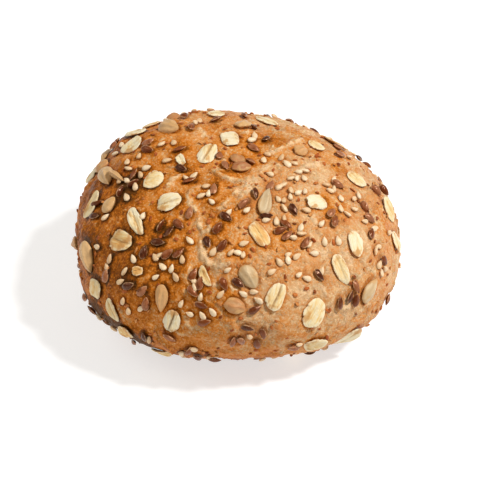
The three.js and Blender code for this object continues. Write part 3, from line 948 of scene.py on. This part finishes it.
def crust_finish():
    material, tree = new_finish("baked_crust")
    where = tree.node("ShaderNodeTexCoord", {}, {}, out="Object")
    height = tree.node("ShaderNodeSeparateXYZ", {}, {0: where}, out="Z")
    baked, close = (attribute(tree, name) for name in ("baked", "close"))
    patterns = crust_patterns(tree, where)

    # Next to each topping the crust is darker: partly toasting, and partly painted shade that the topping
    # would cast.
    toasted = close**TOAST_AND_SHADE_POWER * (TOAST_AND_SHADE_BY + baked * TOAST_AND_SHADE_BY_BAKED)
    colour = tree.ramp(summed(baked, patterns, BAKED_BY) + toasted, BROWNING)
    colour = tree.mix(tree.smooth(baked, *DUSTED_BELOW) * DUST_SHARE, colour, FLOUR_DUST)
    colour = tree.mix(patterns["fleck"] * SPECK_SHARE, colour, RED_SPECK)
    # Painted shade on the underside, near the tray.
    colour = tree.mix(tree.smooth(height, *SHADED_BELOW) * UNDERSIDE_SHADE_SHARE, colour, UNDERSIDE_SHADE)

    rough = summed(CRUST_ROUGH, patterns, ROUGHENED_BY)
    finish_surface(tree, colour, rough, summed(0.0, patterns, LIFTED_BY), BUMP_MM, CRUST_GLOSS)
    return material


crust.data.materials.clear()
crust.data.materials.append(crust_finish())
print("nodes in the crust's finish:", len(crust.data.materials[0].node_tree.nodes))

# %% [markdown]
# ## Shapes for the toppings
#
# Every flake and seed here is flat, with an outline, a top and an underside. So one function makes them
# all: rings of points run from the middle of the top, over the rim, to the middle of the underside. What
# differs is the outline and the two faces. Length, width and thickness are one unit, because the
# scattering tree gives each its true size. Two attributes go with each point: its place on the seed, and
# how deep in a crease or ridge it lies.


# %% Make a flat seed from an outline and two faces
def seed_shape(name, rings, spokes, outline, face):
    """Face takes places, their share of the way to the rim, and 1 for the top or -1 for the underside."""
    angle = np.arange(spokes) * 2 * math.pi / spokes
    rim = outline(angle)
    middle = rim.mean(axis=0)
    shares = np.sin(np.linspace(0, math.pi / 2, rings + 1))
    levels = [(share, 1) for share in shares[1:]] + [(share, -1) for share in shares[-2:0:-1]]
    rows = [(middle[None, :], 0.0, 1)]
    rows += [(middle + (rim - middle) * share, share, side) for share, side in levels]
    rows += [(middle[None, :], 0.0, -1)]
    points, places, creases = [], [], []
    for across, share, side in rows:
        z, crease = face(across, np.full(len(across), share), side)
        points.append(np.column_stack([across, z]))
        places.append(np.column_stack([across, np.full(len(across), share)]))
        creases.append(crease)
    mesh = bpy.data.meshes.new(name)
    mesh.from_pydata(np.vstack(points).tolist(), [], seed_faces(len(levels), spokes))
    write_attribute(mesh, "place", np.vstack(places))
    write_attribute(mesh, "crease", np.concatenate(creases))
    return bpy.data.objects.new(name, mesh)


def seed_faces(levels, spokes):
    def corner(level, spoke):
        return 1 + level * spokes + spoke % spokes

    last = 1 + levels * spokes
    faces = [(0, corner(0, j), corner(0, j + 1)) for j in range(spokes)]
    for i in range(levels - 1):
        for j in range(spokes):
            faces.append((corner(i, j), corner(i + 1, j), corner(i + 1, j + 1), corner(i, j + 1)))
    faces += [(last, corner(levels - 1, j + 1), corner(levels - 1, j)) for j in range(spokes)]
    return faces


def ripple(angle, draw, lobes, height):
    """A closed wavy line round an outline, of a few waves with drawn places."""
    total = np.zeros_like(angle)
    for count in lobes:
        total += np.sin(count * angle + next(draw) * 2 * math.pi) / math.sqrt(count)
    return height * total


# %% Shape the oat flakes
# Depth of the crease, curl across, bow along, ragged rim, notches, chipped end, and hook of the flake.
OAT_LOOKS = [
    (0.15, 0.5, 0.2, 0.022, 2, 0.0, 0.0),
    (1.1, -0.4, 0.3, 0.045, 4, 0.15, 0.0),
    (0.7, 0.9, -0.4, 0.05, 3, 0.0, 0.15),
    (0.25, 0.2, 0.3, 0.05, 4, 0.35, 0.0),
    (0.3, 0.6, 0.4, 0.09, 4, 0.4, 0.0),
    (0.2, 0.5, 0.3, 0.01, 0, 0.0, 0.5),
    (0.55, 0.4, -0.5, 0.025, 1, 0.0, 0.1),
    (0.0, 0.9, 0.8, 0.035, 2, 0.0, 0.0),
    (0.1, -0.3, 0.5, 0.07, 3, 0.45, 0.0),
    (0.4, 0.3, 0.3, 0.025, 1, 0.1, 0.1),
]
OAT_SEED = 300

# Each height is a share of a flake's thickness.
OAT_TOP, OAT_UNDER = 0.32, -0.2
CREASE_TOP, CREASE_UNDER = 0.34, 0.12
CREASE_WIDTH = 0.11
NOTCH_WIDTH = 0.1  # in radians
DROOP = 0.12  # how far a flake bends down with the crust it lies on
OAT_LIFT = 0.1


def oat_shape(number):
    """A rolled grain: an oval flake with a ragged rim, often a crease along it, and a slight curl."""
    draw = numbers_from(OAT_SEED + number)
    crease_depth, curl, bow, ragged, notch_count, chipped, hook = OAT_LOOKS[number]
    notches = [(next(draw) * 2 * math.pi, 0.05 + 0.1 * next(draw)) for _ in range(notch_count)]
    wobble = [next(draw) * 6 for _ in range(4)]

    def outline(angle):
        swell = 1 + ripple(angle, draw, (2, 3, 5, 8, 12), ragged)
        for place, depth in notches:
            off = (angle - place + math.pi) % (2 * math.pi) - math.pi
            swell -= depth * np.exp(-((off / NOTCH_WIDTH) ** 2))
        x = np.sign(np.cos(angle)) * np.abs(np.cos(angle)) ** 0.9 * swell
        y = np.sin(angle) * (1 - 0.14 * np.cos(angle)) * swell
        x = np.where(x > 1 - chipped, 1 - chipped + (x - 1 + chipped) * 0.25, x)
        return np.column_stack([x, y + hook * (x * x - 0.4)])

    def face(across, share, side):
        x, y = across.T
        y = y - hook * (x * x - 0.4)
        groove = np.exp(-(((y - 0.12 * np.sin(2 * x + wobble[0])) / CREASE_WIDTH) ** 2))
        crease = crease_depth * groove * (1 - np.abs(x) ** 4)
        pillow = (1 - share**5) ** 0.6
        bend = curl * (y * y - 0.25) * 0.5 + bow * (x * x - 0.3) * 0.4 - DROOP * (x * x + y * y / 2)
        bend = bend + 0.09 * np.sin(2.6 * x + wobble[2]) * np.cos(2.3 * y + wobble[3]) * (0.4 + share)
        if side < 0:
            return OAT_UNDER * pillow - CREASE_UNDER * crease + bend + OAT_LIFT, np.zeros_like(crease)
        ribs = 0.035 * np.sin(13 * y + 3 * x + wobble[1]) + 0.03 * np.sin(7 * x + wobble[2]) * np.sin(5 * y)
        return OAT_TOP * pillow - CREASE_TOP * crease + bend + ribs * (1 - share**4) + OAT_LIFT, crease

    return seed_shape(f"oat_{number:02d}", 9, 40, outline, face)


# %% Shape the kernels
def teardrop(angle, point, plump):
    """An outline with a tip at angle 0. Point says how sharp the tip is."""
    return np.column_stack([np.cos(angle), plump * np.sin(angle) * np.sin(angle / 2) ** point])


# Point, plumpness, height of the ridge, and how lumpy.
KERNEL_LOOKS = [
    (0.35, 1.1, 0.05, 0.03),
    (0.8, 1.25, 0.22, 0.03),
    (0.75, 1.22, 0.08, 0.015),
    (0.65, 1.15, 0.14, 0.02),
    (0.25, 1.05, 0.05, 0.07),
]
KERNEL_SEED = 400
KERNEL_DOME = 0.48
RIDGE_WIDTH = 0.2
LINES_ACROSS, LINE_DEPTH = 11, 0.07


def kernel_shape(number):
    """A hulled sunflower seed or a cracked grain: a plump teardrop with a ridge along it and fine lines."""
    draw = numbers_from(KERNEL_SEED + number)
    point, plump, ridge, lumps = KERNEL_LOOKS[number]
    lean = (next(draw) - 0.5) * 0.3
    phase = next(draw) * 6

    def outline(angle):
        drop = teardrop(angle, point, plump)
        return drop * (1 + ripple(angle, draw, (2, 3, 5, 7), lumps))[:, None]

    def face(across, share, side):
        x, y = across.T
        round_side = np.clip(1 - share**2, 0, 1) ** 0.68
        crest = ridge * np.exp(-(((y - lean * x) / RIDGE_WIDTH) ** 2)) * (1 - share**2)
        dents = lumps * 1.5 * np.sin(4 * x + phase) * np.cos(5 * y + 2 * phase)
        lines = 0.5 + 0.5 * np.sin(LINES_ACROSS * y / (1.25 - 0.6 * x) + phase)
        domed = KERNEL_DOME * round_side + crest - LINE_DEPTH * lines * round_side
        return side * domed + dents * round_side, lines * round_side

    return seed_shape(f"kernel_{number:02d}", 8, 28, outline, face)


# %% Shape the linseed, the sesame and the bran
# Seed of the draws, sharpness of the tip, least plumpness and how much it varies, the dome's two powers
# and its height, and the number of spokes. Linseed thins out to its rim, and sesame has a fuller edge.
SMALL_SEEDS = {
    "linseed": (500, 0.62, 1.12, 0.12, 1.7, 0.85, 0.5, 14),
    "sesame": (600, 0.75, 1.15, 0.15, 3.2, 0.6, 0.44, 12),
}


def small_seed_shape(kind, number):
    """A small, smooth teardrop, domed on both sides."""
    first_draw, point, plumpness, varies, fall, bulge, height, spokes = SMALL_SEEDS[kind]
    plump = plumpness + varies * next(numbers_from(first_draw + number))

    def outline(angle):
        return teardrop(angle, point, plump)

    def face(across, share, side):
        dome = np.clip(1 - share**fall, 0, 1) ** bulge
        return side * height * dome, dome

    return seed_shape(f"{kind}_{number:02d}", 4, spokes, outline, face)


BRAN_SEED = 700
BRAN_UNEVEN = 0.16


def bran_shape(number):
    """A broken bit of husk or cracked grain, with an uneven outline."""
    draw = numbers_from(BRAN_SEED + number)

    def outline(angle):
        swell = 1 + ripple(angle, draw, (2, 3, 4), BRAN_UNEVEN)
        return np.column_stack([np.cos(angle), np.sin(angle)]) * swell[:, None]

    lean = (next(draw) - 0.5, next(draw) - 0.5)

    def face(across, share, side):
        dome = np.clip(1 - share**2, 0, 1) ** 0.6
        return side * 0.4 * dome * (1 + across @ lean), dome

    return seed_shape(f"bran_{number:02d}", 3, 9, outline, face)


# %% [markdown]
# ## Scattering them
#
# A tree takes one point for each piece. The points carry what makes a piece its own: the way it faces and
# points, its size, its shape's number and a shade. Instancing puts a shape on each, a noise then bends
# each one a little differently, and the last nodes make the instances real and give them their finish.

# %% Build the scattering tree
SCATTER = {"Unevenness": 0.1, "Unevenness size": 2.5}


def scatter_tree():
    more = [("Shapes", "NodeSocketCollection"), ("Finish", "NodeSocketMaterial")]
    tree, given = new_geometry_tree("scattered toppings", SCATTER, more)

    def own(name, data_type):
        return tree.node("GeometryNodeInputNamedAttribute", {"data_type": data_type}, {"Name": name})

    turn = tree.node(
        "FunctionNodeAxesToRotation",
        {"primary_axis": "Z", "secondary_axis": "X"},
        {"Primary Axis": own("facing", "FLOAT_VECTOR"), "Secondary Axis": own("along", "FLOAT_VECTOR")},
    )
    children = {"Collection": given["Shapes"], "Separate Children": True}
    shapes = tree.node("GeometryNodeCollectionInfo", {}, children)
    scattered = tree.node(
        "GeometryNodeInstanceOnPoints",
        {},
        {
            "Points": given["Geometry"],
            "Instance": shapes,
            "Pick Instance": True,
            "Instance Index": own("shape", "INT"),
            "Rotation": turn,
            "Scale": own("size", "FLOAT_VECTOR"),
        },
    )
    real = tree.node("GeometryNodeRealizeInstances", {}, {"Geometry": scattered})
    where = tree.node("GeometryNodeInputPosition")
    noise = tree.noise(where, given["Unevenness size"], 1.0, out="Color")
    push = tree.vector("SUBTRACT", noise, (0.5, 0.5, 0.5))
    amount = given["Unevenness"] * 2 * MM
    amounts = tree.node("ShaderNodeCombineXYZ", {}, {0: amount, 1: amount, 2: amount})
    offset = tree.vector("MULTIPLY", push, amounts)
    real = tree.node("GeometryNodeSetPosition", {}, {"Geometry": real, "Offset": offset})
    real = tree.node("GeometryNodeSetShadeSmooth", {}, {"Geometry": real})
    real = tree.node("GeometryNodeSetMaterial", {}, {"Geometry": real, "Material": given["Finish"]})
    tree.node("NodeGroupOutput", {}, {"Geometry": real})
    return tree.nodes


SCATTER_TREE = scatter_tree()


# %% Lay one point for each piece
# How far a piece may roll and tip in degrees, how much it is raised so that it shows over its bed, how
# uneven its skin is, and the seed of its draws.
LYING = {
    "oats": dict(roll=5, tip=5, rise=0.2, uneven=0.22, seed=81),
    "kernels": dict(roll=16, tip=6, rise=0.45, uneven=0.18, seed=82),
    "linseed": dict(roll=34, tip=10, rise=0.65, uneven=0.06, seed=83),
    "sesame": dict(roll=42, tip=14, rise=0.4, uneven=0.08, seed=84),
    "bran": dict(roll=40, tip=30, rise=0.15, uneven=0.12, seed=85),
}
PLAIN_LOOKS = 4  # the rule's own pieces take the first few shapes of their kind


def laid_points(name, kind, pieces, shape_count):
    """A mesh of loose points, with the attributes that the tree reads."""
    sizes, lying = TOPPINGS[kind], LYING[kind]
    draw = numbers_from(lying["seed"])
    height = sizes["thick"] / 2 - sizes["sink"] + lying["rise"]
    places, facing, along = [], [], []
    for piece in pieces:
        roll = math.radians((next(draw) * 2 - 1) * lying["roll"] + (piece.roll or 0))
        tip = math.radians((next(draw) * 2 - 1) * lying["tip"])
        beside = np.cross(piece.normal, piece.along)
        up = turned(piece.normal, piece.along, roll)
        side = turned(beside, piece.along, roll)
        facing.append(turned(up, side, tip))
        along.append(turned(piece.along, side, tip))
        places.append((piece.at + piece.normal * height) * MM)
    tones = [next(draw) for _ in pieces]
    looks = [int(next(draw) * min(shape_count, PLAIN_LOOKS)) for _ in pieces]

    mesh = bpy.data.meshes.new(name)
    mesh.from_pydata([tuple(place) for place in places], [], [])
    write_attribute(mesh, "facing", np.array(facing))
    write_attribute(mesh, "along", np.array(along))
    extent = np.array([(piece.long / 2, piece.wide / 2, sizes["thick"]) for piece in pieces])
    write_attribute(mesh, "size", extent * MM)
    write_attribute(mesh, "shade", [own if p.tone is None else p.tone for p, own in zip(pieces, tones)])
    numbers = mesh.attributes.new("shape", "INT", "POINT")
    numbers.data.foreach_set("value", [own if p.look is None else p.look for p, own in zip(pieces, looks)])
    return mesh


# %% Put one kind of topping on the crust
def scatter(name, kind, pieces, shapes, finish):
    """One mesh with all the pieces of a kind."""
    shelf = bpy.data.collections.new(name + " shapes")
    for shape in shapes:
        shelf.objects.link(shape)
    made = bpy.data.objects.new(name, laid_points(name, kind, pieces, len(shapes)))
    bpy.context.scene.collection.objects.link(made)
    own = {"Shapes": shelf, "Finish": finish, "Unevenness": LYING[kind]["uneven"]}
    run_tree(made, SCATTER_TREE, {**SCATTER, **own})
    for shape in shapes:
        bpy.data.objects.remove(shape)
    bpy.data.collections.remove(shelf)
    print(name, "faces:", len(made.data.polygons))
    return made


# %% [markdown]
# ## Finishes for the toppings
#
# All five finishes read the same three attributes. The shade is one number for each piece, so that no two
# flakes or seeds have quite the same colour. The place gives the way to the rim, where linseed has a lighter
# edge, a painted sheen, and the others a browner or paler one. The crease darkens the fold of an oat flake
# and the fine lines of a kernel: painted shade in those grooves, and in the oat's fold partly its own darker
# colour. What differs from one kind to the next is colours and numbers, so one function mixes them all.

# %% Mix the toppings' finishes
# Places on a piece are stretched for fine streaks along it and for broad blotches. Each piece's shade,
# times these numbers, moves its pattern away from the others'.
STREAKED = (1.4, 8.0, 0.0)
BLOTCHED = (1.3, 1.3, 0.0)
MOVED_BY = (37, 53, 91)
RIM_SHARE, TOASTED_SHARE, DUSTED_SHARE = 0.8, 0.8, 0.18
RIM_BLOTCH, TOASTED_BLOTCH, DUSTED_BLOTCH = (0.35, 0.55), (0.62, 0.74), (0.55, 0.75)
ROUGH_VARIES = 0.2


def topping_finish(
    name, tones, rim, rim_from, toasted, crease, creased, rough, streak, bump_mm, extras=None
):
    """Tones is a ramp from a piece's shade to its colour. Extras are sockets that are the same all over."""
    material, tree = new_finish(name)
    where = tree.node("ShaderNodeTexCoord", {}, {}, out="Object")
    shade = attribute(tree, "shade")
    place = attribute(tree, "place", "Vector")
    out_to_rim = tree.node("ShaderNodeSeparateXYZ", {}, {0: place}, out="Z")
    lines = attribute(tree, "crease")

    own = tree.node("ShaderNodeCombineXYZ", {}, {i: shade * times for i, times in enumerate(MOVED_BY)})
    streaks = tree.scaled_noise(tree.vector("MULTIPLY_ADD", place, STREAKED, own), 1.0, 3.0)
    blotch = tree.scaled_noise(tree.vector("MULTIPLY_ADD", place, BLOTCHED, own), 1.0, 2.0)
    fine = tree.noise(where, 0.6, 3, 0.65)

    colour = tree.ramp(shade + (blotch + streaks - 1) * streak, tones)
    edge = tree.smooth(out_to_rim, rim_from, 1.0) * tree.smooth(blotch, *RIM_BLOTCH)
    spot = tree.smooth(blotch + out_to_rim * 0.12, *TOASTED_BLOTCH)
    colour = tree.mix(edge * RIM_SHARE, colour, rim)
    colour = tree.mix(spot * TOASTED_SHARE, colour, toasted)
    # The grooves are darker: painted shade in an oat's fold and a kernel's fine lines, and in the oat's fold
    # partly its own darker colour.
    colour = tree.mix(lines * creased, colour, crease)
    colour = tree.mix(tree.smooth(fine, *DUSTED_BLOTCH) * DUSTED_SHARE, colour, rim)
    finish_surface(tree, colour, rough + ROUGH_VARIES * (fine - 0.5), streaks * 0.6 + fine, bump_mm, extras)
    return material


# %% Give each kind its colours
OAT_FINISH = topping_finish(
    "oat_flake",
    [
        (0.0, (0.81, 0.715, 0.50)),
        (0.3, (0.80, 0.64, 0.36)),
        (0.6, (0.77, 0.52, 0.20)),
        (1.0, (0.70, 0.35, 0.085)),
    ],
    rim=(0.83, 0.73, 0.50),
    rim_from=0.62,
    toasted=(0.56, 0.26, 0.06),
    crease=(0.36, 0.18, 0.05),
    creased=0.8,
    rough=0.6,
    streak=1.5,
    bump_mm=0.35,
)
KERNEL_FINISH = topping_finish(
    "kernel",
    [
        (0.0, (0.64, 0.50, 0.31)),
        (0.15, (0.55, 0.38, 0.20)),
        (0.35, (0.68, 0.43, 0.20)),
        (0.6, (0.66, 0.34, 0.13)),
        (1.0, (0.34, 0.09, 0.025)),
    ],
    rim=(0.46, 0.24, 0.08),
    rim_from=0.8,
    toasted=(0.58, 0.33, 0.13),
    crease=(0.44, 0.27, 0.12),
    creased=0.62,
    rough=0.36,
    streak=0.22,
    bump_mm=0.2,
    extras={"Specular IOR Level": 0.5, "Specular Tint": (1.0, 0.85, 0.65, 1)},
)
LINSEED_FINISH = topping_finish(
    "linseed_skin",
    [
        (0.0, (0.37, 0.150, 0.068)),
        (0.4, (0.21, 0.050, 0.011)),
        (0.75, (0.11, 0.022, 0.005)),
        (0.93, (0.04, 0.008, 0.003)),
    ],
    # A lighter edge: painted sheen along the seed's rim.
    rim=(0.72, 0.44, 0.23),
    rim_from=0.8,
    toasted=(0.11, 0.028, 0.008),
    crease=(0.15, 0.036, 0.009),
    creased=0.25,
    rough=0.22,
    streak=0.5,
    bump_mm=0.08,
    extras={"Specular IOR Level": 0.5, "Specular Tint": (1.0, 0.6, 0.4, 1)},
)
SESAME_FINISH = topping_finish(
    "sesame_skin",
    [
        (0.0, (0.80, 0.64, 0.43)),
        (0.6, (0.74, 0.54, 0.32)),
        (1.0, (0.62, 0.38, 0.18)),
    ],
    rim=(0.60, 0.36, 0.17),
    rim_from=0.85,
    toasted=(0.68, 0.42, 0.20),
    crease=(0.76, 0.58, 0.37),
    creased=0.2,
    rough=0.42,
    streak=0.3,
    bump_mm=0.08,
)
BRAN_FINISH = topping_finish(
    "bran",
    [
        (0.0, (0.68, 0.33, 0.10)),
        (0.4, (0.50, 0.13, 0.024)),
        (0.8, (0.32, 0.056, 0.009)),
        (1.0, (0.12, 0.026, 0.005)),
    ],
    rim=(0.55, 0.22, 0.06),
    rim_from=0.7,
    toasted=(0.20, 0.04, 0.008),
    crease=(0.34, 0.09, 0.02),
    creased=0.2,
    rough=0.5,
    streak=0.5,
    bump_mm=0.15,
    extras={"Specular IOR Level": 0.3, "Specular Tint": (1.0, 0.7, 0.45, 1)},
)


# %% Shape and scatter every kind
SMALL_SEED_SHAPES = 4


def scatter_kind(name, kind, shapes, finish):
    return scatter(name, kind, [piece for piece in toppings if piece.kind == kind], shapes, finish)


oat_shapes = [oat_shape(number) for number in range(len(OAT_LOOKS))]
kernel_shapes = [kernel_shape(number) for number in range(len(KERNEL_LOOKS))]
linseed_shapes = [small_seed_shape("linseed", number) for number in range(SMALL_SEED_SHAPES)]
sesame_shapes = [small_seed_shape("sesame", number) for number in range(SMALL_SEED_SHAPES)]

scattered = [
    scatter_kind("oat_flakes", "oats", oat_shapes, OAT_FINISH),
    scatter_kind("sunflower_kernels", "kernels", kernel_shapes, KERNEL_FINISH),
    scatter_kind("linseed", "linseed", linseed_shapes, LINSEED_FINISH),
    scatter_kind("sesame", "sesame", sesame_shapes, SESAME_FINISH),
]

# %% [markdown]
# ## Bran and cracked grain
#
# Between the seeds lie bits of red-brown husk and cracked grain, too small for the solid. The same spiral
# rule and the same tree place them, so they need only a shape and a finish of their own.

# %% Scatter the bran
BRAN_LONG_SEEN, BRAN_WIDE_SEEN = 7, 5  # in the picture
BRAN_TURN = 3  # degrees of turn for each pixel across the picture, so that the bits lie any way round
BRAN_SHAPES = 6
TOPPINGS["bran"] = dict(
    long=1.7, wide=1.1, thick=0.8, sink=0.3, seed=67, tries=520, lowest=-30, closeness=0.8
)

bran = [seen_piece("bran", x, y, BRAN_TURN * x, BRAN_LONG_SEEN, BRAN_WIDE_SEEN) for x, y in SEEN_BRAN]
room = TOPPINGS["bran"]["closeness"]
bran += [piece for piece in offered_pieces("bran") if is_free(piece, toppings, room)]
bran_shapes = [bran_shape(number) for number in range(BRAN_SHAPES)]
scattered.append(scatter("bran_bits", "bran", bran, bran_shapes, BRAN_FINISH))

# %% [markdown]
# ## Light and floor
#
# The photograph has soft light from the upper right and a pure white ground. A fairly small light, high
# on the right and a little toward the camera, gives the soft-edged shadows that fall to the lower left of
# each seed. A larger, weaker one on the left and a pale, warm world fill them.

# %% Lay the floor
# It glows a little, so that the roll's shadow on it stays faint.
FLOOR_HALF = 2.0
FLOOR = {
    "Base Color": (0.5, 0.5, 0.5, 1),
    "Roughness": 0.9,
    "Emission Color": (1.0, 1.0, 1.0, 1),
    "Emission Strength": 0.63,
}


def make_floor():
    mesh = bpy.data.meshes.new("floor")
    corners = [(-FLOOR_HALF, -FLOOR_HALF, 0), (FLOOR_HALF, -FLOOR_HALF, 0)]
    corners += [(-x, -y, z) for x, y, z in corners]
    mesh.from_pydata(corners, [], [(0, 1, 2, 3)])
    floor = bpy.data.objects.new("floor", mesh)
    bpy.context.scene.collection.objects.link(floor)
    material, tree = new_finish("pale_floor")
    shader = tree.node("ShaderNodeBsdfPrincipled", {}, FLOOR)
    tree.node("ShaderNodeOutputMaterial", {}, {"Surface": shader})
    mesh.materials.append(material)


make_floor()

# %% Hang the lights
# Where each one is, in metres, its side, its watts and its colour.
LIGHTS = {
    "window": ((0.6, -0.12, 0.92), 0.14, 12, (1.0, 1.0, 1.0)),
    "fill": ((-0.75, 0.05, 0.8), 0.8, 4.0, (1.0, 0.97, 0.92)),
}
WORLD_COLOUR, WORLD_STRENGTH = (1.0, 0.9, 0.77, 1), 0.25


def make_light(name, place, size, watts, colour):
    lamp = bpy.data.lights.new(name, "AREA")
    lamp.size = size
    lamp.energy = watts
    lamp.color = colour
    light = bpy.data.objects.new(name, lamp)
    light.location = place
    light.rotation_euler = (Vector(place) - Vector(HEART * MM)).to_track_quat("Z", "Y").to_euler()
    bpy.context.scene.collection.objects.link(light)


def make_world():
    world = bpy.data.worlds.new("studio")
    bpy.context.scene.world = world
    world.use_nodes = True
    sky = world.node_tree.nodes["Background"]
    sky.inputs["Color"].default_value = WORLD_COLOUR
    sky.inputs["Strength"].default_value = WORLD_STRENGTH


for name, light in LIGHTS.items():
    make_light(name, *light)
make_world()
bpy.context.scene.view_settings.view_transform = "Standard"
print("lights:", ", ".join(LIGHTS))

# %% [markdown]
# ## Onto the roll's body
#
# Every piece rides on the roll's one body and stands in for its solid.

for piece in [crust, *scattered]:
    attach(piece, BODY)
    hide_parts(NODE)
